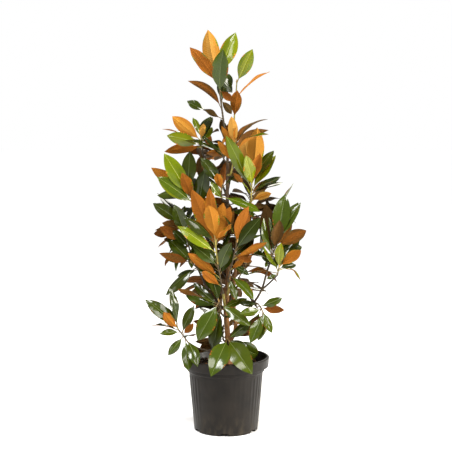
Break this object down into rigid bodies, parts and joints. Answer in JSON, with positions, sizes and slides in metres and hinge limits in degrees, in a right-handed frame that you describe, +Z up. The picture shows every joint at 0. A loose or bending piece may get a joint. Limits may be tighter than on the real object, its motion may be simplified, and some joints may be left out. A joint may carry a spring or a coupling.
{
  "type": "potted magnolia tree",
  "caption": "Young evergreen magnolia with slim upright stems and glossy leaves, rusty felt beneath, growing in a ribbed black nursery pot.",
  "frame": {"origin": "centre of the pot's flat underside", "axes": "+Z up along the tree, -Y towards the side that the picture shows, +X to its right"},
  "size_m": [0.5771, 0.4661, 1.4625],
  "materials": {
    "pot_plastic": "satin",
    "compost": "matte",
    "trunk_bark": "matte",
    "stem_bark": "matte",
    "green_stem": "matte",
    "foliage": "satin"
  },
  "bodies": {
    "root": {"compost": "compost", "crown_right": "foliage", "crown_top": "foliage", "dark_stem": "stem_bark", "front_fan": "foliage", "front_stem": "green_stem", "left_bough": "stem_bark", "left_low": "foliage", "left_mid": "foliage", "left_mid_bough": "stem_bark", "left_upper": "foliage", "low_centre": "foliage", "low_left": "foliage", "low_left_bough": "stem_bark", "mid_right": "foliage", "mid_right_bough": "green_stem", "pot": "pot_plastic", "rear_foot": "foliage", "rear_left": "foliage", "rear_left_bough": "stem_bark", "rear_low": "foliage", "rear_low_bough": "stem_bark", "rear_right": "foliage", "rear_right_bough": "stem_bark", "rear_top": "foliage", "rear_top_bough": "stem_bark", "right": "foliage", "right_hang": "foliage", "right_low": "foliage", "right_low_bough": "stem_bark", "right_stem": "trunk_bark", "rim_front": "foliage", "trunk": "trunk_bark", "trunk_left": "foliage", "upper_front": "foliage", "upper_left": "foliage", "upper_left_bough": "stem_bark", "upper_right": "foliage", "upper_right_bough": "stem_bark"}
  },
  "joints": []
}
